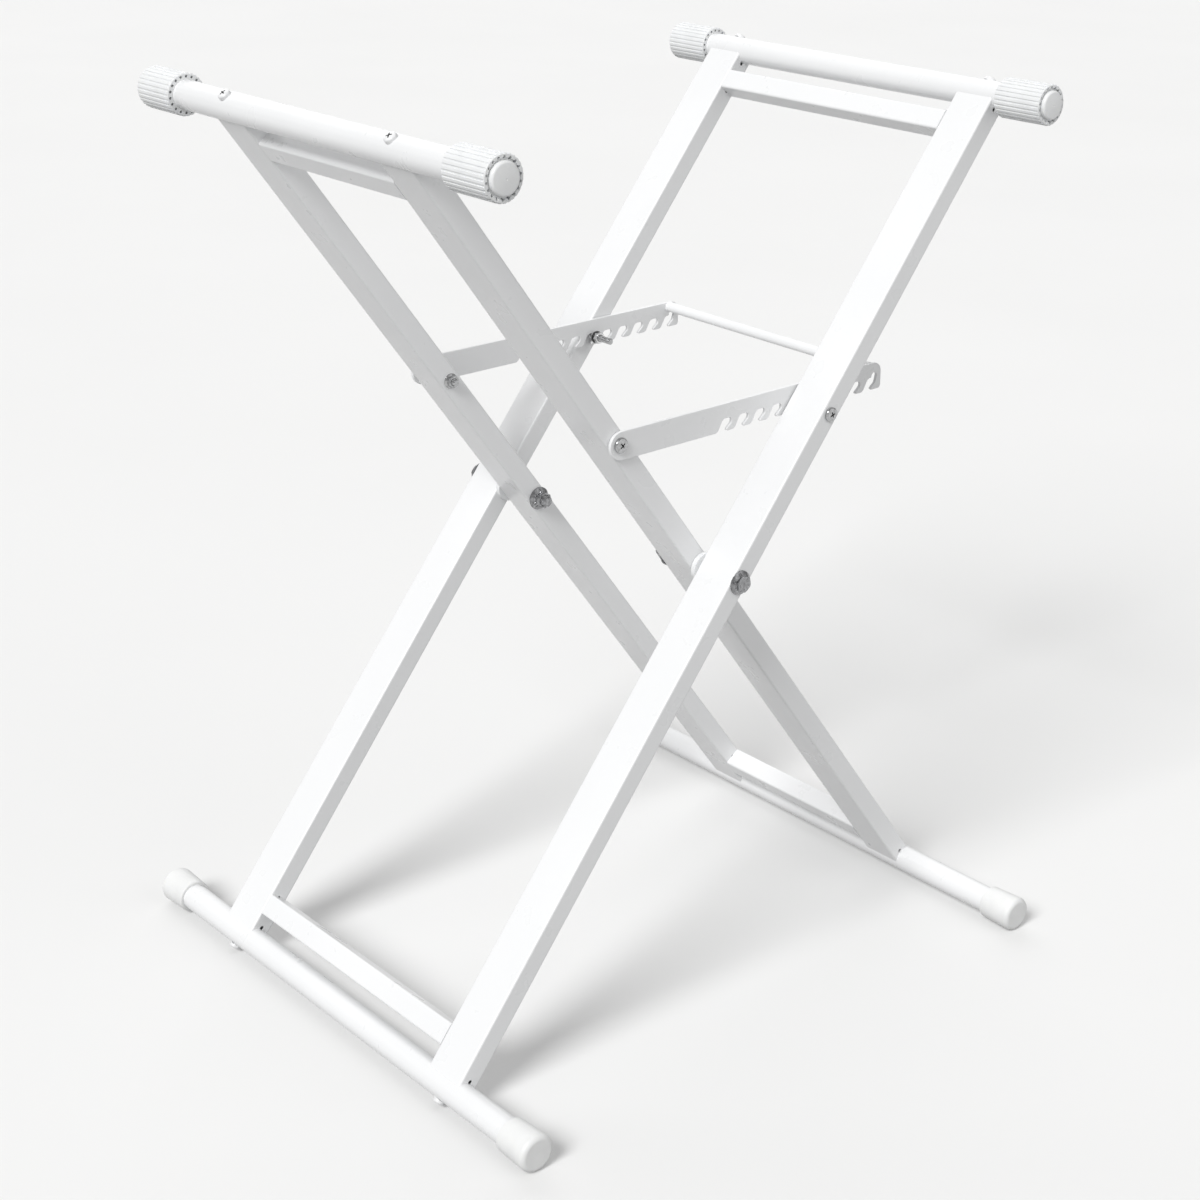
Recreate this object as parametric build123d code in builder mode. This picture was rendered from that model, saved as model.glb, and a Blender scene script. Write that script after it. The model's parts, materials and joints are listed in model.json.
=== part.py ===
from build123d import *
import os
from math import asin, atan2, cos, degrees, hypot, radians, sin

# Folding X-shaped stand. Two tube frames cross on a pair of pivot bolts. Two slotted lock
# arms, tied together by a rod, hook over pins on the outer frame and hold the stand open.
# +Z is up. The origin is on the floor under the middle of the stand. Y runs along the round
# tubes, near is its negative side, and the stand opens along X. The outer frame leans
# towards +X at its top and the inner frame towards -X.

near = -1
far = 1
outer = 1
inner = -1
top = 1
bottom = -1

# Lock arms, measured from the pivot hole towards the free end
arm_width = 25.0
arm_thickness = 3.0
arm_top_edge = 11.2
arm_bottom_edge = arm_top_edge - arm_width
arm_round_end_x = 2.0
arm_free_end_x = 313.0
arm_free_top_radius = 9.0
arm_free_bottom_radius = 3.5
rod_radius = 5.0
rod_x = 301.0
rod_height = 6.7

# Hook slots in the lower edge of the arms
lock_pin_radius = 3.0
seat_clearance = 0.3
seat_radius = lock_pin_radius + seat_clearance
seat_count = 10
seat_pitch = 20.0
first_seat_x = 123.0
seat_drop = 5.6
seat_to_edge = -arm_bottom_edge - seat_drop
slot_wall_angle = 60.0
slot_bend_radius = 5.0
slot_top_run = 3.8
hook_angle = 40.0
hook_tip_radius = 1.2
end_pocket_x = 1.3
end_pocket_rise = 4.7

# The seat that the pins rest in sets how far the frames open.
pivot_to_lock = 167.0
seat_in_use = 5
seat_in_use_x = first_seat_x + (seat_in_use - 1) * seat_pitch
lock_reach = hypot(seat_in_use_x, seat_drop)
half_opening = asin(lock_reach / 2 / pivot_to_lock)
arm_tilt = atan2(seat_drop, seat_in_use_x)

# Round tubes across the frames, with caps on the lower ones
tube_radius = 12.5
tube_wall = 1.5
tube_bore_radius = tube_radius - tube_wall
weld_gap = 0.05
foot_radius = 17.0
foot_lip_radius = 15.5
foot_end_y = 285.0
foot_length = 36.0
foot_lip_y = foot_end_y - foot_length
foot_end_wall = 3.5
foot_end_rounding = 4.5
foot_lip_rounding = 1.5
top_tube_half = 237.5
bottom_tube_half = foot_end_y - foot_end_wall

# Legs and crossbars
half_leg = 491.5
leg_width = 42.0
leg_depth = 20.0
leg_wall = 1.5
leg_corner = 2.0
frame_gap = 5.0
outer_leg_y = 162.0
inner_leg_y = outer_leg_y - leg_width - frame_gap
crossbar_size = 20.0
crossbar_to_tube = 36.5
crossbar_from_pivot = half_leg - crossbar_to_tube
notch_radius = 2.2
notch_from_tube = 13.8
vent_radius = 1.75
vent_inset = 0.8
pivot_height = half_leg * cos(half_opening) + foot_radius

# Screws through the round tubes into threaded blocks in the leg ends
tube_screw_radius = 3.0
tube_screw_hole_radius = 3.2
tube_screw_head_radius = 6.5
tube_screw_head_reach = 16.1
tube_screw_rounding = 1.4
tube_screw_end = 34.0
insert_start = 17.5
insert_length = 20.0
insert_clearance = 0.1

# Grips and end plugs on the top tubes
grip_wall = 5.5
grip_radius = tube_radius + grip_wall
grip_length = 50.0
plug_seat_depth = 1.5
grip_outboard_y = top_tube_half + plug_seat_depth
grip_inboard_y = grip_outboard_y - grip_length
grip_bevel = 1.0
groove_count = 28
groove_depth = 0.7
groove_width = 1.9
channel_count = 18
channel_radius = 1.3
channel_sides = 6
channel_from_tube = 2.5
channel_circle_radius = tube_radius + channel_from_tube
plug_lip = 2.0
plug_radius = tube_radius + plug_lip
plug_seat_clearance = 0.2
plug_seat_radius = plug_radius + plug_seat_clearance
plug_thickness = 5.0
plug_dome_radius = 132.0
plug_rounding = 2.2
plug_stem_length = 15.0
plug_stem_wall = 2.0

# Main pivots, on the outer frame
running_gap = 0.08
thread_gap = 0.05
pivot_radius = 5.0
pivot_flange_radius = 11.0
pivot_flange_rim = 1.5
pivot_cone_height = 4.0
pivot_hex_flats = 15.0
pivot_head_height = 9.0
pivot_nut_height = 10.0
pivot_nut_gap = 0.2
pivot_tip_beyond_nut = 5.0
pivot_spacer_radius = 14.2
pivot_spacer_gap = 0.3
pivot_spacer_thickness = frame_gap - pivot_spacer_gap
hex_chamfer = 0.6

# Lock pins, on the outer frame
lock_head_radius = 6.5
lock_head_height = 3.5
lock_spacer_radius = 4.5
lock_spacer_length = 3.2
lock_spacer_gap = 0.5
lock_washer_radius = 6.0
lock_washer_thickness = 1.6
lock_nut_flats = 10.0
lock_nut_height = 5.0
lock_pin_tip_y = 111.0
pan_rounding = 1.5

# Arm pivots, on the inner frame
arm_pivot_radius = 3.0
arm_washer_radius = 9.0
arm_washer_thickness = 0.8
arm_gap = 0.1
arm_head_radius = 6.7
arm_head_height = 3.5
arm_head_gap = 0.2
arm_nut_flange_radius = 7.0
arm_nut_flange_rim = 1.0
arm_nut_cone_height = 2.2
arm_nut_flats = 10.0
arm_nut_height = 6.0
arm_tip_beyond_nut = 3.0

# Faces that the hardware and the arms are stacked on, as distances from the middle
outer_leg_outside = outer_leg_y + leg_width / 2
outer_leg_inside = outer_leg_y - leg_width / 2
inner_leg_outside = inner_leg_y + leg_width / 2
inner_leg_inside = inner_leg_y - leg_width / 2
arm_inside = inner_leg_outside + arm_washer_thickness + arm_gap
arm_outside = arm_inside + arm_thickness


def leg_direction(frame):
    # Direction up the legs of a frame
    return Vector(frame * sin(half_opening), 0, cos(half_opening))


def leg_point(frame, along, y=0.0):
    # Point in a frame's middle plane, at a distance up the leg from the main pivot
    return Vector(0, y, pivot_height) + leg_direction(frame) * along


def leg_centre(frame):
    return outer_leg_y if frame == outer else inner_leg_y


def leg_section(frame, along):
    # Plane square to the legs, with its x along Y and its y through the leg's depth
    return Plane(leg_point(frame, along), x_dir=(0, 1, 0), z_dir=leg_direction(frame))


def side_plane(frame, along, y, facing):
    # Plane square to Y with its x up the leg, facing +Y or -Y
    return Plane(leg_point(frame, along, y), x_dir=leg_direction(frame), z_dir=(0, facing, 0))


def tube_plane(frame, end, side):
    # Plane through a round tube's axis, with x as the distance outboard and y as the radius
    return Plane(leg_point(frame, end * half_leg), x_dir=(0, side, 0), z_dir=leg_direction(frame))


def tube_axis(frame, end):
    return Axis(leg_point(frame, end * half_leg), (0, 1, 0))


def make_leg(frame, side):
    # Rectangular tube, coped to the round tubes at both ends
    centre = side * leg_centre(frame)
    pin_radius = lock_pin_radius if frame == outer else arm_pivot_radius
    cope_radius = tube_radius + weld_gap
    end = half_leg - cope_radius / 2
    vent_at = crossbar_from_pivot - crossbar_size / 2 + vent_inset
    with BuildPart() as piece:
        with BuildSketch(leg_section(frame, -end)):
            with Locations((centre, 0)):
                RectangleRounded(leg_width, leg_depth, leg_corner)
                inside_width = leg_width - 2 * leg_wall
                inside_depth = leg_depth - 2 * leg_wall
                RectangleRounded(inside_width, inside_depth, leg_corner - leg_wall, mode=Mode.SUBTRACT)
        extrude(amount=2 * end)
        with BuildSketch(side_plane(frame, 0, centre, far)):
            with Locations((-half_leg, 0), (half_leg, 0)):
                Circle(cope_radius)
            with Locations((notch_from_tube - half_leg, 0), (half_leg - notch_from_tube, 0)):
                Circle(notch_radius)
            Circle(pivot_radius + running_gap)
            with Locations((pivot_to_lock, 0)):
                Circle(pin_radius + running_gap)
        extrude(amount=leg_width, both=True, mode=Mode.SUBTRACT)
        with BuildSketch(side_plane(frame, 0, centre, -side)):
            with Locations((-vent_at, 0), (vent_at, 0)):
                Circle(vent_radius)
        extrude(amount=leg_width, mode=Mode.SUBTRACT)
    return piece.part


def make_crossbar(frame, end):
    # Square tube between the legs, flush with their faces
    half_length = leg_centre(frame) - leg_width / 2
    inside = crossbar_size - 2 * leg_wall
    with BuildPart() as piece:
        with BuildSketch(side_plane(frame, end * crossbar_from_pivot, 0, far)):
            RectangleRounded(crossbar_size, crossbar_size, leg_corner)
            RectangleRounded(inside, inside, leg_corner - leg_wall, mode=Mode.SUBTRACT)
        extrude(amount=half_length, both=True)
    return piece.part


def make_cross_tube(frame, end):
    # Round tube with the holes of its two screws
    half_length = top_tube_half if end == top else bottom_tube_half
    with BuildPart() as piece:
        with BuildSketch(side_plane(frame, end * half_leg, 0, far)):
            Circle(tube_radius)
            Circle(tube_bore_radius, mode=Mode.SUBTRACT)
        extrude(amount=half_length, both=True)
        with BuildSketch(leg_section(frame, end * half_leg)):
            with Locations((-leg_centre(frame), 0), (leg_centre(frame), 0)):
                Circle(tube_screw_hole_radius)
        extrude(amount=2 * tube_radius, both=True, mode=Mode.SUBTRACT)
    return piece.part


def make_leg_inserts(frame):
    # Four threaded blocks inside the leg ends
    width = leg_width - 2 * leg_wall - 2 * insert_clearance
    depth = leg_depth - 2 * leg_wall - 2 * insert_clearance
    middle = half_leg - insert_start - insert_length / 2
    with BuildPart() as piece:
        for end in (bottom, top):
            with BuildSketch(leg_section(frame, end * middle)):
                with Locations((-leg_centre(frame), 0), (leg_centre(frame), 0)):
                    RectangleRounded(width, depth, leg_corner - leg_wall)
                    Circle(tube_screw_radius + thread_gap, mode=Mode.SUBTRACT)
            extrude(amount=insert_length / 2, both=True)
    return piece.part


def make_tube_screws(frame):
    # Four pan-head screws across the round tubes, with heads that saddle the tubes
    head_start = tube_radius / 2
    head_middle = (head_start + tube_screw_head_reach) / 2
    centre = leg_centre(frame)
    with BuildPart() as piece:
        for end in (bottom, top):
            for y in (-centre, centre):
                with BuildSketch(side_plane(frame, end * half_leg, y, far)) as profile:
                    with Locations((end * head_middle, tube_screw_head_radius / 2)):
                        Rectangle(tube_screw_head_reach - head_start, tube_screw_head_radius)
                    rim = Vector(end * tube_screw_head_reach, tube_screw_head_radius)
                    fillet(profile.vertices().sort_by_distance(rim)[0], radius=tube_screw_rounding)
                revolve(axis=Axis(leg_point(frame, 0, y), leg_direction(frame)))
        for end in (bottom, top):
            with BuildSketch(side_plane(frame, end * half_leg, 0, far)):
                Circle(tube_radius + weld_gap)
            extrude(amount=outer_leg_outside, both=True, mode=Mode.SUBTRACT)
        for end in (bottom, top):
            with BuildSketch(leg_section(frame, end * (half_leg - tube_screw_end))):
                with Locations((-centre, 0), (centre, 0)):
                    Circle(tube_screw_radius)
            extrude(amount=end * (tube_screw_end + tube_screw_head_reach - tube_screw_rounding))
    return piece.part


def make_grip(frame, side):
    # Fluted sleeve with a ring of channels inside its wall and a seat for the plug's flange
    bore_radius = tube_radius + weld_gap
    with BuildPart() as piece:
        with BuildSketch(tube_plane(frame, top, side)):
            with BuildLine():
                Polyline(
                    (grip_inboard_y, bore_radius),
                    (grip_inboard_y, grip_radius - grip_bevel),
                    (grip_inboard_y + grip_bevel, grip_radius),
                    (grip_outboard_y - grip_bevel, grip_radius),
                    (grip_outboard_y, grip_radius - grip_bevel),
                    (grip_outboard_y, plug_seat_radius),
                    (top_tube_half, plug_seat_radius),
                    (top_tube_half, bore_radius),
                    close=True,
                )
            make_face()
        revolve(axis=tube_axis(frame, top))
        with BuildSketch(side_plane(frame, top * half_leg, side * grip_inboard_y, side)):
            with PolarLocations(grip_radius, groove_count):
                Rectangle(2 * groove_depth, groove_width)
            with PolarLocations(channel_circle_radius, channel_count):
                RegularPolygon(channel_radius, channel_sides)
        extrude(amount=grip_length, mode=Mode.SUBTRACT)
    return piece.part


def make_end_plug(frame, side):
    # Domed plug with a hollow stem inside the top tube
    stem_radius = tube_bore_radius - weld_gap
    stem_inside = stem_radius - plug_stem_wall
    stem_start = top_tube_half - plug_stem_length
    dome_angle = degrees(asin(plug_radius / plug_dome_radius))
    with BuildPart() as piece:
        with BuildSketch(tube_plane(frame, top, side)) as profile:
            with BuildLine():
                dome = JernArc((top_tube_half + plug_thickness, 0), (0, 1), plug_dome_radius, dome_angle)
                Polyline(
                    dome @ 1,
                    (top_tube_half, plug_radius),
                    (top_tube_half, stem_radius),
                    (stem_start, stem_radius),
                    (stem_start, stem_inside),
                    (top_tube_half, stem_inside),
                    (top_tube_half, 0),
                    dome @ 0,
                )
            make_face()
            fillet(profile.vertices().sort_by_distance(dome @ 1)[0], radius=plug_rounding)
        revolve(axis=tube_axis(frame, top))
    return piece.part


def make_foot_cap(frame, side):
    # Flared cap over the end of a lower tube
    bore_radius = tube_radius + weld_gap
    with BuildPart() as piece:
        with BuildSketch(tube_plane(frame, bottom, side)) as profile:
            with BuildLine():
                Polyline(
                    (foot_lip_y, bore_radius),
                    (foot_lip_y, foot_lip_radius),
                    (foot_end_y, foot_radius),
                    (foot_end_y, 0),
                    (bottom_tube_half, 0),
                    (bottom_tube_half, bore_radius),
                    close=True,
                )
            make_face()
            lip = Vector(foot_lip_y, foot_lip_radius)
            rim = Vector(foot_end_y, foot_radius)
            fillet(profile.vertices().sort_by_distance(lip)[0], radius=foot_lip_rounding)
            fillet(profile.vertices().sort_by_distance(rim)[0], radius=foot_end_rounding)
        revolve(axis=tube_axis(frame, bottom))
    return piece.part


def make_pan_bolt(seat, head_radius, head_height, shank_radius, shank_length):
    # Pan-head bolt on the plane of its seat, which faces the head
    with BuildPart() as piece:
        with BuildSketch(seat):
            Circle(head_radius)
        extrude(amount=head_height)
        crown = piece.faces().sort_by(Axis(seat.origin, seat.z_dir))[-1]
        fillet(crown.edges(), radius=pan_rounding)
        with BuildSketch(seat):
            Circle(shank_radius)
        extrude(amount=-shank_length)
    return piece.part


def make_flange_hex(seat, flange_radius, rim, cone_height, flats, height):
    # Hexagon on a conical flange, as on a flange bolt or nut
    turned = Plane(seat.origin, x_dir=seat.z_dir, z_dir=seat.x_dir)
    with BuildPart() as piece:
        with BuildSketch(seat):
            RegularPolygon(flats / 2, 6, major_radius=False)
        extrude(amount=height)
        crown = piece.faces().sort_by(Axis(seat.origin, seat.z_dir))[-1]
        chamfer(crown.edges(), length=hex_chamfer)
        with BuildSketch(turned):
            with BuildLine():
                Polyline(
                    (0, 0),
                    (0, flange_radius),
                    (rim, flange_radius),
                    (cone_height, flats / 2),
                    (cone_height, 0),
                    close=True,
                )
            make_face()
        revolve(axis=Axis(seat.origin, seat.z_dir))
    return piece.part


def make_ring(seat, radius, bore_radius, thickness):
    with BuildPart() as piece:
        with BuildSketch(seat):
            Circle(radius)
            Circle(bore_radius, mode=Mode.SUBTRACT)
        extrude(amount=thickness)
    return piece.part


def make_pivot_bolts():
    tip = inner_leg_inside - pivot_nut_gap - pivot_nut_height - pivot_tip_beyond_nut
    with BuildPart() as piece:
        for side in (near, far):
            seat = side_plane(outer, 0, side * outer_leg_outside, side)
            add(
                make_flange_hex(
                    seat,
                    pivot_flange_radius,
                    pivot_flange_rim,
                    pivot_cone_height,
                    pivot_hex_flats,
                    pivot_head_height,
                )
            )
            with BuildSketch(seat):
                Circle(pivot_radius)
            extrude(amount=tip - outer_leg_outside)
    return piece.part


def make_pivot_nuts():
    seat_y = inner_leg_inside - pivot_nut_gap
    with BuildPart() as piece:
        for side in (near, far):
            seat = side_plane(outer, 0, side * seat_y, -side)
            add(
                make_flange_hex(
                    seat,
                    pivot_flange_radius,
                    pivot_flange_rim,
                    pivot_cone_height,
                    pivot_hex_flats,
                    pivot_nut_height,
                )
            )
            with BuildSketch(seat):
                Circle(pivot_radius + thread_gap)
            extrude(amount=pivot_nut_height, mode=Mode.SUBTRACT)
    return piece.part


def make_pivot_spacers():
    with BuildPart() as piece:
        for side in (near, far):
            seat = side_plane(outer, 0, side * outer_leg_inside, -side)
            add(make_ring(seat, pivot_spacer_radius, pivot_radius + running_gap, pivot_spacer_thickness))
    return piece.part


def make_lock_pin_bolts():
    with BuildPart() as piece:
        for side in (near, far):
            seat = side_plane(outer, pivot_to_lock, side * outer_leg_outside, side)
            length = outer_leg_outside - lock_pin_tip_y
            add(make_pan_bolt(seat, lock_head_radius, lock_head_height, lock_pin_radius, length))
    return piece.part


def make_lock_pin_rings(start, radius, thickness):
    # Spacers or washers on the lock pins, starting at a distance from the middle
    with BuildPart() as piece:
        for side in (near, far):
            seat = side_plane(outer, pivot_to_lock, side * start, -side)
            add(make_ring(seat, radius, lock_pin_radius + thread_gap, thickness))
    return piece.part


def make_lock_pin_nuts(start):
    with BuildPart() as piece:
        for side in (near, far):
            with BuildSketch(side_plane(outer, pivot_to_lock, side * start, -side)):
                RegularPolygon(lock_nut_flats / 2, 6, major_radius=False)
                Circle(lock_pin_radius + thread_gap, mode=Mode.SUBTRACT)
            extrude(amount=lock_nut_height)
    return piece.part


def make_arm_pivot_bolts():
    seat_y = arm_outside + arm_head_gap
    tip_y = inner_leg_inside - arm_nut_height - arm_tip_beyond_nut
    with BuildPart() as piece:
        for side in (near, far):
            seat = side_plane(inner, pivot_to_lock, side * seat_y, side)
            add(make_pan_bolt(seat, arm_head_radius, arm_head_height, arm_pivot_radius, seat_y - tip_y))
    return piece.part


def make_arm_pivot_washers():
    with BuildPart() as piece:
        for side in (near, far):
            seat = side_plane(inner, pivot_to_lock, side * inner_leg_outside, side)
            add(make_ring(seat, arm_washer_radius, arm_pivot_radius + running_gap, arm_washer_thickness))
    return piece.part


def make_arm_pivot_nuts():
    with BuildPart() as piece:
        for side in (near, far):
            seat = side_plane(inner, pivot_to_lock, side * inner_leg_inside, -side)
            add(
                make_flange_hex(
                    seat,
                    arm_nut_flange_radius,
                    arm_nut_flange_rim,
                    arm_nut_cone_height,
                    arm_nut_flats,
                    arm_nut_height,
                )
            )
            with BuildSketch(seat):
                Circle(arm_pivot_radius + thread_gap)
            extrude(amount=arm_nut_height, mode=Mode.SUBTRACT)
    return piece.part


def arm_plane(y):
    # Plane of a lock arm's side, from its pivot hole towards its free end, facing -Y
    direction = (cos(arm_tilt), 0, sin(arm_tilt))
    return Plane(leg_point(inner, pivot_to_lock, y), x_dir=direction, z_dir=(0, -1, 0))


def make_hook_slot():
    # One slot around its seat: in from the lower edge, up along the wall, over and down
    # round the seat, and out again under the hook that holds the pin
    wall_rise = seat_to_edge + seat_radius - 2 * slot_bend_radius * (1 - cos(radians(slot_wall_angle)))
    wall_length = wall_rise / sin(radians(slot_wall_angle))
    wall_run = wall_length * cos(radians(slot_wall_angle))
    bend_run = slot_bend_radius * sin(radians(slot_wall_angle))
    mouth_x = -(slot_top_run + wall_run + 2 * bend_run)
    hook_drop = seat_to_edge - seat_radius * cos(radians(hook_angle))
    hook_drop -= hook_tip_radius * (1 + cos(radians(hook_angle)))
    hook_length = hook_drop / sin(radians(hook_angle))
    turn = 180 - hook_angle
    with BuildSketch() as slot:
        with BuildLine():
            mouth = JernArc((mouth_x, -seat_to_edge), (1, 0), slot_bend_radius, slot_wall_angle)
            wall = PolarLine(mouth @ 1, wall_length, slot_wall_angle)
            bend = JernArc(wall @ 1, wall % 1, slot_bend_radius, -slot_wall_angle)
            roof = Line(bend @ 1, (0, seat_radius))
            seat = JernArc(roof @ 1, (1, 0), seat_radius, -turn)
            hook = PolarLine(seat @ 1, hook_length, 180 + hook_angle)
            tip = JernArc(hook @ 1, hook % 1, hook_tip_radius, turn)
            below = -seat_to_edge - seat_radius
            Polyline(tip @ 1, ((tip @ 1).X, below), (mouth_x, below), mouth @ 0)
        make_face()
    return slot.sketch


def make_lock_arm(side):
    # Flat bar with a round end on the pivot and a row of hook slots towards the free end
    middle = (arm_top_edge + arm_bottom_edge) / 2
    start_y = arm_outside if side == far else -arm_inside
    last_seat_x = first_seat_x + (seat_count - 1) * seat_pitch
    seats = [(first_seat_x + i * seat_pitch, -seat_drop) for i in range(seat_count)]
    pocket_length = hypot(end_pocket_x, end_pocket_rise)
    pocket_angle = degrees(atan2(end_pocket_rise, end_pocket_x))
    with BuildPart() as piece:
        with BuildSketch(arm_plane(start_y)) as outline:
            with Locations(((arm_round_end_x + arm_free_end_x) / 2, middle)):
                Rectangle(arm_free_end_x - arm_round_end_x, arm_width)
            with Locations((arm_round_end_x, middle)):
                Circle(arm_width / 2)
            upper = Vector(arm_free_end_x, arm_top_edge)
            lower = Vector(arm_free_end_x, arm_bottom_edge)
            fillet(outline.vertices().sort_by_distance(upper)[0], radius=arm_free_top_radius)
            fillet(outline.vertices().sort_by_distance(lower)[0], radius=arm_free_bottom_radius)
            Circle(arm_pivot_radius + running_gap, mode=Mode.SUBTRACT)
            with Locations(*seats):
                add(make_hook_slot(), mode=Mode.SUBTRACT)
            with Locations((last_seat_x + end_pocket_x / 2, end_pocket_rise / 2 - seat_drop)):
                SlotCenterToCenter(pocket_length, 2 * seat_radius, rotation=pocket_angle, mode=Mode.SUBTRACT)
        extrude(amount=arm_thickness)
    return piece.part


def make_lock_arm_rod():
    with BuildPart() as piece:
        with BuildSketch(arm_plane(0)):
            with Locations((rod_x, rod_height)):
                Circle(rod_radius)
        extrude(amount=arm_inside, both=True)
    return piece.part


def save(part, name):
    part.label = name
    export_step(part, os.path.join("parts", name + ".step"))


os.makedirs("parts", exist_ok=True)

for frame, frame_name in ((outer, "outer"), (inner, "inner")):
    for end, end_name in ((top, "upper"), (bottom, "lower")):
        save(make_crossbar(frame, end), frame_name + "_" + end_name + "_crossbar")
    save(make_cross_tube(frame, top), frame_name + "_top_tube")
    save(make_cross_tube(frame, bottom), frame_name + "_bottom_tube")
    save(make_leg_inserts(frame), frame_name + "_leg_inserts")
    save(make_tube_screws(frame), frame_name + "_tube_screws")
    for side, side_name in ((near, "near"), (far, "far")):
        save(make_leg(frame, side), frame_name + "_leg_" + side_name)
        save(make_grip(frame, side), frame_name + "_grip_" + side_name)
        save(make_end_plug(frame, side), frame_name + "_plug_" + side_name)
        save(make_foot_cap(frame, side), frame_name + "_foot_" + side_name)

save(make_pivot_bolts(), "pivot_bolts")
save(make_pivot_nuts(), "pivot_nuts")
save(make_pivot_spacers(), "pivot_spacers")

lock_spacer_start = arm_inside - lock_spacer_gap
lock_washer_start = lock_spacer_start - lock_spacer_length
lock_nut_start = lock_washer_start - lock_washer_thickness
save(make_lock_pin_bolts(), "lock_pin_bolts")
save(make_lock_pin_rings(lock_spacer_start, lock_spacer_radius, lock_spacer_length), "lock_pin_spacers")
save(
    make_lock_pin_rings(lock_washer_start, lock_washer_radius, lock_washer_thickness),
    "lock_pin_washers",
)
save(make_lock_pin_nuts(lock_nut_start), "lock_pin_nuts")

save(make_arm_pivot_bolts(), "arm_pivot_bolts")
save(make_arm_pivot_washers(), "arm_pivot_washers")
save(make_arm_pivot_nuts(), "arm_pivot_nuts")

save(make_lock_arm(near), "lock_arm_near")
save(make_lock_arm(far), "lock_arm_far")
save(make_lock_arm_rod(), "lock_arm_rod")
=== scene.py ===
import json
from math import asin, cos, hypot, pi, radians, sin, sqrt

import bmesh
import bpy
from mathutils import Matrix, Vector


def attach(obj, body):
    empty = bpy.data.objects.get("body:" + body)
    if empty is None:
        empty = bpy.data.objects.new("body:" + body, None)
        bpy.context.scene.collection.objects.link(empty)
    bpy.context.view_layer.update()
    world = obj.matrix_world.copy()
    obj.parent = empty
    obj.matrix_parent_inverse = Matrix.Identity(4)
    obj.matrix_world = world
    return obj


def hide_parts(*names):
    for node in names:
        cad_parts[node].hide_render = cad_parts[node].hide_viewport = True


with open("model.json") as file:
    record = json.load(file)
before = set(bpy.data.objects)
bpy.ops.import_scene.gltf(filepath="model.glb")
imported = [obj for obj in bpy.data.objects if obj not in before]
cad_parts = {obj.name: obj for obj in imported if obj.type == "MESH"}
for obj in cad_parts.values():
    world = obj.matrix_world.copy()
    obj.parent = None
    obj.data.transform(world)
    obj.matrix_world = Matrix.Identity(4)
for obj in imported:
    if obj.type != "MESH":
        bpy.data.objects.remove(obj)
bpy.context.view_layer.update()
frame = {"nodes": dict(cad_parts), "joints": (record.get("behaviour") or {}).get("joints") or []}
nodes = frame["nodes"]
print("loaded the stand:", len(nodes), "parts")

near, far = -1, 1
outer, inner = 1, -1
bottom, top = -1, 1
bodyOf = {outer: "outer_frame", inner: "inner_frame"}
frameName = {outer: "outer", inner: "inner"}

# places on the stand that the fasteners sit on, in metres
stand = {
    "halfLeg": 0.4915,
    "pivotToLock": 0.167,
    "lockReach": hypot(0.203, 0.0056),
    "tubeRadius": 0.01255,
    "legY": {outer: 0.162, inner: 0.115},
}
halfOpening = asin(stand["lockReach"] / 2 / stand["pivotToLock"])
mainPivot = Vector(next(j["pos_m"] for j in frame["joints"] if j["name"] == "x_fold"))
mainPivot.y = 0


def legUp(side):
    return Vector((side * sin(halfOpening), 0, cos(halfOpening)))


def legPoint(side, along, y=0.0):
    return mainPivot + legUp(side) * along + Vector((0, y, 0))


# modelling by hand, in short steps

def deselectAll():
    bpy.ops.object.select_all(action="DESELECT")


def makeActive(piece):
    deselectAll()
    piece.select_set(True)
    bpy.context.view_layer.objects.active = piece


def applyPlace(piece):
    makeActive(piece)
    bpy.ops.object.transform_apply(location=True, rotation=True, scale=True)


def applyModifier(piece, kind, **settings):
    makeActive(piece)
    modifier = piece.modifiers.new(kind.title(), kind)
    for key, value in settings.items():
        setattr(modifier, key, value)
    bpy.ops.object.modifier_apply(modifier=modifier.name)


def combine(piece, other, how):
    applyModifier(piece, "BOOLEAN", operation=how, object=other, solver="EXACT")
    bpy.data.objects.remove(other, do_unlink=True)
    return piece


def turnOutline(name, outline, steps=48):
    # draws (radius, height) points vertex by vertex and spins them round Z
    deselectAll()
    bpy.ops.mesh.primitive_plane_add(size=0.001)
    piece = bpy.context.object
    piece.name = name
    bpy.ops.object.mode_set(mode="EDIT")
    bpy.ops.mesh.merge(type="CENTER")
    radius, height = outline[0]
    bpy.ops.transform.translate(value=(radius, 0, height))
    for (fromR, fromZ), (toR, toZ) in zip(outline, outline[1:]):
        step = (toR - fromR, 0, toZ - fromZ)
        bpy.ops.mesh.extrude_vertices_move(TRANSFORM_OT_translate={"value": step})
    bpy.ops.mesh.select_all(action="SELECT")
    bpy.ops.mesh.spin(steps=steps, angle=2 * pi, center=(0, 0, 0), axis=(0, 0, 1))
    bpy.ops.mesh.select_all(action="SELECT")
    bpy.ops.mesh.remove_doubles(threshold=0.000002)
    bpy.ops.mesh.normals_make_consistent(inside=False)
    bpy.ops.object.mode_set(mode="OBJECT")
    return piece


def cornerArc(centreR, centreZ, radius, fromDegrees, toDegrees, count=5):
    points = []
    for i in range(count + 1):
        angle = radians(fromDegrees + (toDegrees - fromDegrees) * i / count)
        points.append((centreR + radius * cos(angle), centreZ + radius * sin(angle)))
    return points


threadShape = {"crestFlat": 0.15, "rootAt": 0.55, "tipBevel": 0.6}  # in pitches


def threadOutline(crest, root, pitch, low, high):
    # V grooves from low up to high
    points = []
    height = low
    while height + pitch < high:
        points += [(crest, height), (crest, height + pitch * threadShape["crestFlat"]),
                   (root, height + pitch * threadShape["rootAt"])]
        height += pitch
    return points + [(crest, height), (crest, high)]


smallEdge = 0.0001


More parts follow.
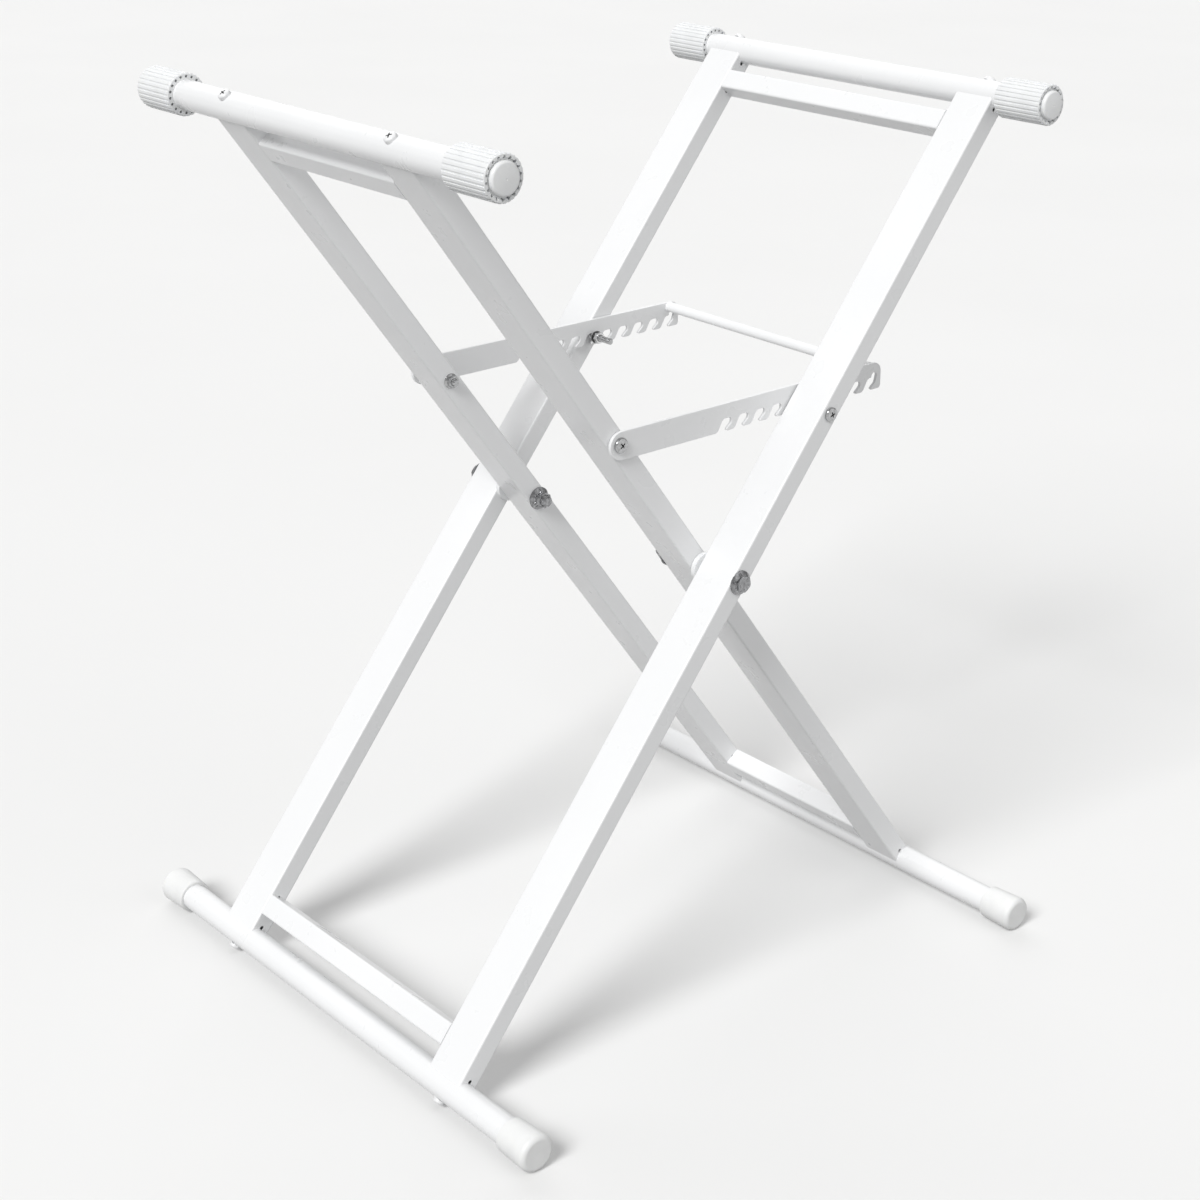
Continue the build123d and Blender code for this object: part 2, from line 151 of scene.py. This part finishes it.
def softenEdges(piece, width, sharpest=38):
    applyModifier(piece, "BEVEL", width=width, segments=2, limit_method="ANGLE",
                  angle_limit=radians(sharpest))
    makeActive(piece)
    bpy.ops.object.shade_smooth_by_angle(angle=radians(34))
    applyModifier(piece, "WEIGHTED_NORMAL", weight=100, keep_sharp=True)


def faceAlong(point, direction, turn=0):
    # stands a piece's +Z along the direction at a point, turned in degrees round it
    place = direction.to_track_quat("Z", "Y").to_matrix().to_4x4()
    return Matrix.Translation(point) @ place @ Matrix.Rotation(radians(turn), 4, "Z")


def setOut(name, pattern, places):
    # one copy of the pattern at each place, joined as one piece
    copies = []
    for place in places:
        twin = pattern.copy()
        twin.data = pattern.data.copy()
        bpy.context.scene.collection.objects.link(twin)
        twin.data.transform(place)
        copies.append(twin)
    bpy.data.objects.remove(pattern, do_unlink=True)
    makeActive(copies[0])
    for twin in copies[1:]:
        twin.select_set(True)
    if len(copies) > 1:
        bpy.ops.object.join()
    copies[0].name = name
    return copies[0]


def bothSides(seatY, facing, at, turns=(0, 0)):
    # places on the near and far side, facing outwards (1) or inwards (-1)
    places = []
    for side, turn in zip((near, far), turns):
        point = Vector((at.x, side * seatY, at.z))
        places.append(faceAlong(point, Vector((0, side * facing, 0)), turn))
    return places


# finishes

def addNode(tree, kind, values=None, **settings):
    node = tree.nodes.new("ShaderNode" + kind)
    for key, value in settings.items():
        setattr(node, key, value)
    for socket, value in (values or {}).items():
        node.inputs[socket].default_value = value
    return node


def objectNoise(tree, scale, detail=2.0, roughness=0.5):
    place = addNode(tree, "TexCoord")
    noise = addNode(tree, "TexNoise", {"Scale": scale, "Detail": detail, "Roughness": roughness})
    tree.links.new(place.outputs["Object"], noise.inputs["Vector"])
    return noise.outputs["Fac"]


def turnedRings(tree, centre, spacing):
    # fine rings round a bolt's own axis, which runs along Y
    place = addNode(tree, "TexCoord")
    shift = addNode(tree, "Mapping", {"Location": (-centre.x, 0, -centre.z)})
    rings = addNode(tree, "TexWave", {"Scale": pi / (10 * spacing), "Distortion": 1.5,
                                      "Detail": 2.0}, wave_type="RINGS", rings_direction="Y")
    tree.links.new(place.outputs["Object"], shift.inputs["Vector"])
    tree.links.new(shift.outputs["Vector"], rings.inputs["Vector"])
    return rings.outputs["Fac"]


def stretch(tree, value, low, high):
    spread = addNode(tree, "MapRange", {"From Min": 0.3, "From Max": 0.7, "To Min": low,
                                        "To Max": high})
    tree.links.new(value, spread.inputs["Value"])
    return spread.outputs["Result"]


def addBump(tree, height, depth, strength, before=None):
    bump = addNode(tree, "Bump", {"Strength": strength, "Distance": depth})
    tree.links.new(height, bump.inputs["Height"])
    if before is not None:
        tree.links.new(before, bump.inputs["Normal"])
    return bump.outputs["Normal"]


def makeFinish(name, s):
    finish = bpy.data.materials.new(name)
    finish.use_nodes = True
    tree = finish.node_tree
    shader = tree.nodes["Principled BSDF"]
    for socket, value in s.get("sockets", {}).items():
        shader.inputs[socket].default_value = value
    tone = addNode(tree, "ValToRGB")
    tone.color_ramp.elements[0].position = 0.32
    tone.color_ramp.elements[0].color = (*s["dark"], 1)
    tone.color_ramp.elements[1].position = 0.68
    tone.color_ramp.elements[1].color = (*s["light"], 1)
    tree.links.new(objectNoise(tree, s["patchScale"], 4), tone.inputs["Fac"])
    tree.links.new(tone.outputs["Color"], shader.inputs["Base Color"])
    sheen = objectNoise(tree, s["glossScale"], 3)
    tree.links.new(stretch(tree, sheen, *s["roughness"]), shader.inputs["Roughness"])
    skin = addBump(tree, objectNoise(tree, s["skinScale"], 2, 0.6), s["skinDepth"], s["skin"])
    if "rings" in s:
        rings = turnedRings(tree, s["rings"], s["ringSpacing"])
        skin = addBump(tree, rings, s["ringDepth"], s["ringStrength"], skin)
    tree.links.new(skin, shader.inputs["Normal"])
    return finish


whitePaint = {
    "light": (0.87, 0.875, 0.88), "dark": (0.85, 0.856, 0.862), "patchScale": 9,
    "roughness": (0.26, 0.36), "glossScale": 40,
    "skinScale": 620, "skinDepth": 0.0004, "skin": 0.1,
    "sockets": {"Coat Weight": 0.25, "Coat Roughness": 0.12},
}
screwPaint = dict(whitePaint, dark=(0.76, 0.765, 0.77), patchScale=260, skinScale=1500,
                  roughness=(0.24, 0.34))
gripPlastic = {
    "light": (0.84, 0.85, 0.855), "dark": (0.79, 0.80, 0.805), "patchScale": 60,
    "roughness": (0.34, 0.46), "glossScale": 150,
    "skinScale": 1900, "skinDepth": 0.0002, "skin": 0.22,
    "sockets": {"Subsurface Weight": 0.12, "Subsurface Radius": (0.004, 0.004, 0.0045),
                "Subsurface Scale": 0.5},
}
plugPlastic = dict(gripPlastic, light=(0.86, 0.868, 0.87), dark=(0.82, 0.828, 0.83),
                   roughness=(0.2, 0.28), skin=0.06)
footPlastic = dict(gripPlastic, light=(0.85, 0.855, 0.85), dark=(0.79, 0.795, 0.79),
                   patchScale=45, roughness=(0.42, 0.56), skinScale=1300, skin=0.4)
spacerPlastic = dict(gripPlastic, roughness=(0.36, 0.44), patchScale=120)
lockPinAt = legPoint(outer, stand["pivotToLock"])
armPivotAt = legPoint(inner, stand["pivotToLock"])
darkZinc = {
    "light": (0.4, 0.405, 0.415), "dark": (0.22, 0.22, 0.225), "patchScale": 420,
    "roughness": (0.2, 0.34), "glossScale": 500,
    "skinScale": 2200, "skinDepth": 0.0001, "skin": 0.15,
    "rings": mainPivot, "ringSpacing": 0.0004, "ringDepth": 0.00004, "ringStrength": 0.25,
    "sockets": {"Metallic": 1.0},
}
brightZinc = dict(darkZinc, light=(0.55, 0.555, 0.565), dark=(0.36, 0.36, 0.36),
                  roughness=(0.14, 0.26))
# near-black metal for the lock pin's washers: the dark they show is painted in as their colour, a
# painted dark reflection
washerPaintedDarkZinc = dict(darkZinc, light=(0.13, 0.13, 0.13), dark=(0.06, 0.06, 0.06))
# near-black metal for the screw recesses: bare metal with painted shade in the hollow
recessPaintedShadeZinc = dict(darkZinc, light=(0.16, 0.16, 0.16), dark=(0.07, 0.07, 0.07))
recessPaintedShadeZinc.pop("rings")

finishes = {
    "frame_paint": makeFinish("whitePowderCoat", whitePaint),
    "painted_screws": makeFinish("whiteScrewPaint", screwPaint),
    "grip_plastic": makeFinish("ribbedGripPlastic", gripPlastic),
    "plug_plastic": makeFinish("smoothPlugPlastic", plugPlastic),
    "foot_plastic": makeFinish("footCapPlastic", footPlastic),
    "spacer_plastic": makeFinish("slidingSpacerPlastic", spacerPlastic),
    "pivot_metal": makeFinish("pivotZinc", darkZinc),
    "bright_metal": makeFinish("lockPinZinc", dict(brightZinc, rings=lockPinAt)),
    "dark_metal": makeFinish("washerZincPaintedDark", dict(washerPaintedDarkZinc, rings=lockPinAt)),
    "insert_metal": makeFinish("insertZinc", dict(brightZinc, roughness=(0.3, 0.4))),
}
# the lock pin's spacers and nuts get a much lighter zinc than the pin: painted light, standing in for
# their highlights and lifting them out of the shade they sit in
lockSetPaintedLightZinc = makeFinish("lockSetPaintedLightZinc", dict(brightZinc, rings=lockPinAt, roughness=(0.2, 0.32),
                                             light=(0.78, 0.785, 0.79), dark=(0.6, 0.6, 0.6)))
armScrewZinc = makeFinish("armScrewZinc", dict(brightZinc, rings=armPivotAt))
recessShadeFinish = makeFinish("recessPaintedShadeZinc", recessPaintedShadeZinc)


pressedRing = {"radius": 0.0092, "halfWidth": 0.0004, "depth": -0.0002, "strength": 0.6}


def paintArms():
    # the paint is pressed into a faint ring round each arm's pivot
    paint = makeFinish("armPowderCoat", whitePaint)
    tree = paint.node_tree
    shader = tree.nodes["Principled BSDF"]
    place = addNode(tree, "TexCoord")
    shift = addNode(tree, "Mapping", {"Location": (-armPivotAt.x, 0, -armPivotAt.z),
                                      "Scale": (1, 0, 1)})
    reach = addNode(tree, "VectorMath", operation="LENGTH")
    ring = addNode(tree, "Math", {1: pressedRing["radius"], 2: pressedRing["halfWidth"]},
                   operation="COMPARE")
    tree.links.new(place.outputs["Object"], shift.inputs["Vector"])
    tree.links.new(shift.outputs["Vector"], reach.inputs[0])
    tree.links.new(reach.outputs["Value"], ring.inputs[0])
    skin = shader.inputs["Normal"].links[0].from_socket
    pressed = addBump(tree, ring.outputs["Value"], pressedRing["depth"], pressedRing["strength"],
                      skin)
    tree.links.new(pressed, shader.inputs["Normal"])
    return paint


armPaint = paintArms()
print("finishes made:", len(finishes))

# the first word found in a part's name gives its finish
partFinish = {
    "lock_arm_near": armPaint, "lock_arm_far": armPaint, "lock_arm_rod": finishes["frame_paint"],
    "lock_pin_spacers": lockSetPaintedLightZinc, "lock_pin_washers": finishes["dark_metal"],
    "lock_pin": finishes["bright_metal"], "arm_pivot_washers": finishes["spacer_plastic"],
    "arm_pivot": armScrewZinc, "pivot_spacers": finishes["spacer_plastic"],
    "pivot": finishes["pivot_metal"], "leg_inserts": finishes["insert_metal"],
    "tube_screws": finishes["painted_screws"], "grip": finishes["grip_plastic"],
    "plug": finishes["plug_plastic"], "foot": finishes["foot_plastic"],
}


def finishFor(nodeName):
    for word, finish in partFinish.items():
        if word in nodeName:
            return finish
    return finishes["frame_paint"]


for nodeName, node in nodes.items():
    if not node.material_slots:
        node.data.materials.append(None)
    for place in node.material_slots:
        place.link = "OBJECT"
        place.material = finishFor(nodeName)
print("CAD parts finished")


def settle(piece, body, slotName, finish, *replaced):
    if not piece.data.materials:
        piece.data.materials.append(finish)
    piece.data.materials[0] = finish
    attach(piece, body)
    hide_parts(*replaced)


# cross recess of a screw head

crossRecess = {
    "span": 0.0064, "width": 0.0013, "depth": 0.0021, "bottomScale": 0.55, "above": 0.0005,
    "lipBelowTop": 0.00045,
}


def recessCutter(topZ, s):
    deselectAll()
    bpy.ops.mesh.primitive_grid_add(x_subdivisions=3, y_subdivisions=3, size=s["span"])
    cutter = bpy.context.object
    bpy.ops.object.mode_set(mode="EDIT")
    mesh = bmesh.from_edit_mesh(cutter.data)
    for vertex in mesh.verts:
        for axis in (0, 1):
            if abs(vertex.co[axis]) < s["span"] / 3:  # the grid's two inner lines
                vertex.co[axis] = s["width"] / 2 * (1 if vertex.co[axis] > 0 else -1)
        vertex.co.z = topZ + s["above"]
    for face in mesh.faces:
        centre = face.calc_center_median()
        face.select = min(abs(centre.x), abs(centre.y)) > s["width"] / 2  # the corners
    bmesh.update_edit_mesh(cutter.data)
    bpy.ops.mesh.delete(type="FACE")
    bpy.ops.mesh.select_all(action="SELECT")
    down = (0, 0, -s["depth"] - s["above"])
    bpy.ops.mesh.extrude_region_move(TRANSFORM_OT_translate={"value": down})
    shrink = s["bottomScale"]
    bpy.ops.transform.resize(value=(shrink, shrink, 1), center_override=(0, 0, 0))
    bpy.ops.mesh.select_all(action="SELECT")
    bpy.ops.mesh.normals_make_consistent(inside=False)
    bpy.ops.object.mode_set(mode="OBJECT")
    return cutter


def paintShadeInRecess(piece, topZ, s):
    # the recess gets near-black metal, whatever the head's finish: bare metal, darkened further as
    # painted shade in the hollow
    piece.data.materials.clear()
    piece.data.materials.append(None)
    piece.data.materials.append(recessShadeFinish)
    slack = 1.1
    for face in piece.data.polygons:
        centre = face.center
        within = hypot(centre.x, centre.y) < s["span"] / 2 * slack
        if within and topZ - s["depth"] * slack < centre.z < topZ - s["lipBelowTop"]:
            face.material_index = 1


# pan-head screws

panScrew = {"rounding": 0.0015, "crownRise": 0.0005, "underRim": 0.0002, "shankInto": 0.0008}


def panHead(name, radius, low, high, s):
    shoulder = high - s["crownRise"]
    rim = cornerArc(radius - s["rounding"], shoulder - s["rounding"], s["rounding"], 0, 80, 6)
    return turnOutline(name, [(0, low), (radius - s["underRim"], low), (radius, low + s["underRim"]),
                              *rim, (radius * 0.4, high - s["crownRise"] * 0.2), (0, high)])


def threadedShank(name, s, start):
    # plain shank down from start, with thread at its far end and a bevelled tip
    radius, tip = s["shankRadius"], -s["length"]
    root = radius - s["threadDepth"]
    thread = threadOutline(radius, root, s["pitch"], tip + s["pitch"] * threadShape["tipBevel"],
                           tip + s["threaded"])
    return turnOutline(name, [(0, tip), (root, tip), *thread, (radius, start), (0, start)], 40)


tubeScrew = {
    "headRadius": 0.0054, "headLow": 0.00625, "reach": 0.0161,
    "shankRadius": 0.003, "length": 0.034, "pitch": 0.001, "threadDepth": 0.0006,
    "threaded": 0.018, "shankBelowTop": 0.003, "cutterLength": 0.04, "edgeRound": 0.00012,
    "turns": (12, 55, 33, 74),
}


def makeTubeScrews(side, s):
    # the heads saddle the round tubes, drive towards the leg's end
    name = frameName[side] + "_saddle_screws"
    screw = panHead(name, s["headRadius"], s["headLow"], s["reach"], panScrew)
    deselectAll()
    bpy.ops.mesh.primitive_cylinder_add(vertices=96, radius=stand["tubeRadius"], depth=s["cutterLength"],
                                        rotation=(0, pi / 2, 0))
    saddle = bpy.context.object
    applyPlace(saddle)
    combine(screw, saddle, "DIFFERENCE")
    combine(screw, recessCutter(s["reach"], crossRecess), "DIFFERENCE")
    softenEdges(screw, s["edgeRound"])
    paintShadeInRecess(screw, s["reach"], crossRecess)
    shank = threadedShank("shank", s, s["reach"] - s["shankBelowTop"])
    shank.data.materials.append(None)
    makeActive(screw)
    shank.select_set(True)
    bpy.ops.object.join()
    places = []
    for i, (end, y) in enumerate(((bottom, near), (bottom, far), (top, near), (top, far))):
        point = legPoint(side, end * stand["halfLeg"], y * stand["legY"][side])
        places.append(faceAlong(point, legUp(side) * end, s["turns"][i]))
    piece = setOut(name, screw, places)
    settle(piece, bodyOf[side], "painted_screws", finishes["painted_screws"],
           frameName[side] + "_tube_screws")


for side in (outer, inner):
    makeTubeScrews(side, tubeScrew)
print("tube screws done")

lockScrew = {
    "seatY": 0.183, "headRadius": 0.0065, "headHeight": 0.0035,
    "shankRadius": 0.003, "length": 0.072, "pitch": 0.001, "threadDepth": 0.0006,
    "threaded": 0.03, "turns": (20, 65),
}
armScrew = {
    "seatY": 0.1401, "headRadius": 0.0067, "headHeight": 0.0035,
    "shankRadius": 0.003, "length": 0.0551, "pitch": 0.001, "threadDepth": 0.0006,
    "threaded": 0.014, "turns": (40, 10),
}


def makePanScrews(name, at, body, finish, replaced, s):
    screw = panHead(name, s["headRadius"], 0, s["headHeight"], panScrew)
    combine(screw, recessCutter(s["headHeight"], crossRecess), "DIFFERENCE")
    softenEdges(screw, smallEdge)
    paintShadeInRecess(screw, s["headHeight"], crossRecess)
    shank = threadedShank("shank", s, panScrew["shankInto"])
    shank.data.materials.append(None)
    makeActive(screw)
    shank.select_set(True)
    bpy.ops.object.join()
    piece = setOut(name, screw, bothSides(s["seatY"], 1, at, s["turns"]))
    settle(piece, body, "bright_metal", finish, replaced)


makePanScrews("lock_pin_screws", lockPinAt, "outer_frame", finishes["bright_metal"],
              "lock_pin_bolts", lockScrew)
makePanScrews("arm_pivot_screws", armPivotAt, "inner_frame", armScrewZinc,
              "arm_pivot_bolts", armScrew)
print("pan-head screws done")


# hexagons on conical flanges

# widths in flats: the crown's flat circle, and a circle outside the corners
hexagonShape = {"crownFlat": 0.475, "outside": 0.66, "slope": 0.5, "overlap": 0.001}


def hexagonCrown(flats, low, high, bothEnds=False):
    deselectAll()
    bpy.ops.mesh.primitive_cylinder_add(vertices=6, radius=flats / sqrt(3), depth=high - low,
                                        location=(0, 0, (low + high) / 2))
    hexagon = bpy.context.object
    applyPlace(hexagon)
    flat = flats * hexagonShape["crownFlat"]
    wide = flats * hexagonShape["outside"]
    drop = (wide - flat) * hexagonShape["slope"]
    under = low - hexagonShape["overlap"]
    lowEnd = [(0, under), (wide, under)]
    if bothEnds:
        lowEnd = [(0, low), (flat, low), (wide, low + drop)]
    crown = turnOutline("crown", [*lowEnd, (wide, high - drop), (flat, high), (0, high)], 64)
    return combine(hexagon, crown, "INTERSECT")


flangeShape = {"edge": 0.0003, "hexagonInto": 0.6}


def flangeHexagon(name, s):
    rim, radius, edge = s["rim"], s["flangeRadius"], flangeShape["edge"]
    flange = turnOutline(name, [(0, 0), (radius - edge, 0), (radius, edge), (radius, rim - edge),
                                (radius - edge, rim), (s["flats"] / 2, s["coneHeight"]),
                                (0, s["coneHeight"])], 64)
    hexagon = hexagonCrown(s["flats"], rim * flangeShape["hexagonInto"], s["height"])
    return combine(flange, hexagon, "UNION")


nutBore = {"clearance": 0.00005, "mouth": 0.0005, "past": 0.001}


def boreOut(piece, shankRadius, height):
    radius = shankRadius + nutBore["clearance"]
    chamfer, past = nutBore["mouth"], nutBore["past"]
    mouth = radius + chamfer
    bore = turnOutline("bore", [(0, -past), (mouth, -past), (mouth, 0), (radius, chamfer),
                                (radius, height - chamfer), (mouth, height),
                                (mouth, height + past), (0, height + past)])
    return combine(piece, bore, "DIFFERENCE")


pivotBolt = {
    "seatY": 0.183, "flangeRadius": 0.011, "rim": 0.0015, "coneHeight": 0.004,
    "flats": 0.0138, "height": 0.0068, "dishRadius": 0.0048, "dishFloor": 0.75,
    "dishDepth": 0.0007,
    "shankRadius": 0.005, "length": 0.1042, "pitch": 0.0015, "threadDepth": 0.0009,
    "threaded": 0.022, "shankInto": 0.001, "cutAbove": 0.001, "edgeRound": 0.00014,
    "turns": (8, 41),
}


def makePivotBolts(s):
    bolt = flangeHexagon("pivot_flange_bolts", s)
    radius, high = s["dishRadius"], s["height"]
    low, above = high - s["dishDepth"], high + s["cutAbove"]
    dish = turnOutline("dish", [(0, low), (radius * s["dishFloor"], low), (radius, high),
                                (radius, above), (0, above)])
    combine(bolt, dish, "DIFFERENCE")
    combine(bolt, threadedShank("shank", s, s["shankInto"]), "UNION")
    softenEdges(bolt, s["edgeRound"])
    piece = setOut("pivot_flange_bolts", bolt, bothSides(s["seatY"], 1, mainPivot, s["turns"]))
    settle(piece, "outer_frame", "pivot_metal", finishes["pivot_metal"], "pivot_bolts")


makePivotBolts(pivotBolt)

pivotNut = {
    "seatY": 0.0938, "flangeRadius": 0.011, "rim": 0.0015, "coneHeight": 0.004, "flats": 0.0138,
    "height": 0.01, "shankRadius": 0.005, "turns": (25, 3),
}
armNut = {
    "seatY": 0.094, "flangeRadius": 0.007, "rim": 0.001, "coneHeight": 0.0022, "flats": 0.01,
    "height": 0.006, "shankRadius": 0.003, "turns": (14, 47),
}


def makeFlangeNuts(name, at, body, slotName, finish, replaced, s):
    nut = flangeHexagon(name, s)
    boreOut(nut, s["shankRadius"], s["height"])
    softenEdges(nut, smallEdge)
    piece = setOut(name, nut, bothSides(s["seatY"], -1, at, s["turns"]))
    settle(piece, body, slotName, finish, replaced)


makeFlangeNuts("pivot_flange_nuts", mainPivot, "outer_frame", "pivot_metal",
               finishes["pivot_metal"], "pivot_nuts", pivotNut)
makeFlangeNuts("arm_pivot_flange_nuts", armPivotAt, "inner_frame", "bright_metal",
               armScrewZinc, "arm_pivot_nuts", armNut)

lockNut = {"seatY": 0.1316, "flats": 0.01, "height": 0.005, "shankRadius": 0.003, "turns": (5, 33)}


def makeLockNuts(s):
    nut = hexagonCrown(s["flats"], 0, s["height"], bothEnds=True)
    boreOut(nut, s["shankRadius"], s["height"])
    softenEdges(nut, smallEdge)
    piece = setOut("lock_pin_hex_nuts", nut, bothSides(s["seatY"], -1, lockPinAt, s["turns"]))
    settle(piece, "outer_frame", "bright_metal", lockSetPaintedLightZinc, "lock_pin_nuts")


makeLockNuts(lockNut)
print("bolts and nuts done")

# lock arms with their cut edges eased and coated

lockArm = {"edgeRound": 0.0005, "segments": 2, "mergeWithin": 0.000005}


def easeArm(word, s):
    node = nodes["lock_arm_" + word]
    arm = node.copy()
    arm.data = node.data.copy()
    arm.name = "hook_slotted_arm_" + word
    bpy.context.scene.collection.objects.link(arm)
    makeActive(arm)
    bpy.ops.object.mode_set(mode="EDIT")
    bpy.ops.mesh.select_all(action="SELECT")
    bpy.ops.mesh.remove_doubles(threshold=s["mergeWithin"])
    bpy.ops.mesh.dissolve_limited(angle_limit=radians(0.5))
    bpy.ops.object.mode_set(mode="OBJECT")
    applyModifier(arm, "BEVEL", width=s["edgeRound"], segments=s["segments"],
                  limit_method="ANGLE", angle_limit=radians(60))
    makeActive(arm)
    bpy.ops.object.shade_smooth_by_angle(angle=radians(40))
    applyModifier(arm, "WEIGHTED_NORMAL", weight=100, keep_sharp=True)
    arm.material_slots[0].link = "DATA"
    settle(arm, "lock_arms", "frame_paint", armPaint, "lock_arm_" + word)


for word in ("near", "far"):
    easeArm(word, lockArm)
print("lock arms done")

# smooth plugs in the ribbed grips

endPlug = {
    "tubeEndY": 0.2375, "radius": 0.0128, "height": 0.005, "domeFall": 0.0005,
    "rounding": 0.0022, "gateRadius": 0.0009, "gateDepth": 0.00018,
    "stemRadius": 0.0106, "stemWall": 0.002, "stemLength": 0.015, "capWall": 0.0015,
    "midFall": 0.35, "gateFloor": 0.8, "steps": 72,
}


def makePlug(side, end, s):
    # a domed cap with a moulding gate mark, and a hollow stem inside the tube
    word = "near" if end == near else "far"
    shoulder = s["height"] - s["domeFall"]
    rim = cornerArc(s["radius"] - s["rounding"], shoulder - s["rounding"], s["rounding"], 0, 84, 8)
    innerStem = s["stemRadius"] - s["stemWall"]
    gate = s["gateRadius"]
    name = frameName[side] + "_smooth_plug_" + word
    plug = turnOutline(name, [
        (0, s["capWall"]), (innerStem, s["capWall"]), (innerStem, -s["stemLength"]),
        (s["stemRadius"], -s["stemLength"]), (s["stemRadius"], 0), (s["radius"], 0), *rim,
        (s["radius"] / 2, s["height"] - s["domeFall"] * s["midFall"]), (gate, s["height"]),
        (gate * s["gateFloor"], s["height"] - s["gateDepth"]), (0, s["height"] - s["gateDepth"]),
    ], s["steps"])
    softenEdges(plug, smallEdge)
    point = legPoint(side, stand["halfLeg"], end * s["tubeEndY"])
    piece = setOut(name, plug, [faceAlong(point, Vector((0, end, 0)))])
    settle(piece, bodyOf[side], "plug_plastic", finishes["plug_plastic"],
           frameName[side] + "_plug_" + word)


for side in (outer, inner):
    for end in (near, far):
        makePlug(side, end, endPlug)
print("plugs done")

# studio

studio = {
    "floorSize": 60, "floorColour": (0.86, 0.86, 0.856), "skyStrength": 0.37, "skySeen": 0.88,
    "key": {"from": (-2.7, -0.7, 2.4), "strength": 2.5, "softness": 25},
    "fill": {"from": (1.6, -3.2, 1.2), "strength": 0.55, "softness": 60},
    "back": {"from": (1.6, 2.8, 2.0), "strength": 0.75, "softness": 60},
}


def makeFloor(s):
    deselectAll()
    bpy.ops.mesh.primitive_grid_add(x_subdivisions=12, y_subdivisions=12, size=s["floorSize"])
    floor = bpy.context.object
    floor.name = "paleFloor"
    paper = {
        "light": s["floorColour"], "dark": tuple(c - 0.012 for c in s["floorColour"]),
        "patchScale": 1.2, "roughness": (0.75, 0.85), "glossScale": 8, "skinScale": 300,
        "skinDepth": 0.0003, "skin": 0.1, "sockets": {"Specular IOR Level": 0.05},
    }
    floor.data.materials.append(makeFinish("palePaperFloor", paper))
    floor.visible_diffuse = False  # keeps the undersides in shade


def makeSky(s):
    world = bpy.data.worlds.new("studioWhite")
    world.use_nodes = True
    tree = world.node_tree
    light = tree.nodes["Background"]
    light.inputs["Color"].default_value = (1, 1, 1, 1)
    seen = addNode(tree, "LightPath")
    strength = addNode(tree, "MapRange", {"To Min": s["skyStrength"], "To Max": s["skySeen"]})
    tree.links.new(seen.outputs["Is Camera Ray"], strength.inputs["Value"])
    tree.links.new(strength.outputs["Result"], light.inputs["Strength"])
    bpy.context.scene.world = world


def hangLight(name, s):
    # wide and far away, so the floor is lit evenly
    lamp = bpy.data.lights.new(name, "SUN")
    lamp.energy = s["strength"]
    lamp.angle = radians(s["softness"])
    holder = bpy.data.objects.new(name, lamp)
    bpy.context.scene.collection.objects.link(holder)
    toStand = -Vector(s["from"])
    holder.matrix_world = Matrix.Translation(s["from"]) @ toStand.to_track_quat(
        "-Z", "Y").to_matrix().to_4x4()


makeFloor(studio)
makeSky(studio)
for lightName in ("key", "fill", "back"):
    hangLight(lightName + "Softbox", studio[lightName])

photoView = {
    "location": (-1.2194, -1.4302, 1.09), "yaw": 42.921, "pitch": -20.441, "roll": 1.868,
    "lens": 65.293, "shiftX": -0.075, "shiftY": -0.0458,
}


def makeCamera(s):
    # yaw runs from +Y towards +X
    yaw, pitch, roll = (radians(s[key]) for key in ("yaw", "pitch", "roll"))
    ahead = Vector((cos(pitch) * sin(yaw), cos(pitch) * cos(yaw), sin(pitch)))
    level = Vector((cos(yaw), -sin(yaw), 0))
    upright = level.cross(ahead)
    right = level * cos(roll) + upright * sin(roll)
    up = upright * cos(roll) - level * sin(roll)
    lens = bpy.data.cameras.new("photoCamera")
    lens.lens = s["lens"]
    lens.sensor_width = 36
    lens.shift_x = s["shiftX"]
    lens.shift_y = s["shiftY"]
    lens.clip_end = 200
    camera = bpy.data.objects.new("photoCamera", lens)
    bpy.context.scene.collection.objects.link(camera)
    turn = Matrix((right, up, -ahead)).transposed().to_4x4()
    camera.matrix_world = Matrix.Translation(s["location"]) @ turn
    bpy.context.scene.camera = camera


makeCamera(photoView)
bpy.context.scene.view_settings.view_transform = "Standard"
print("studio done")
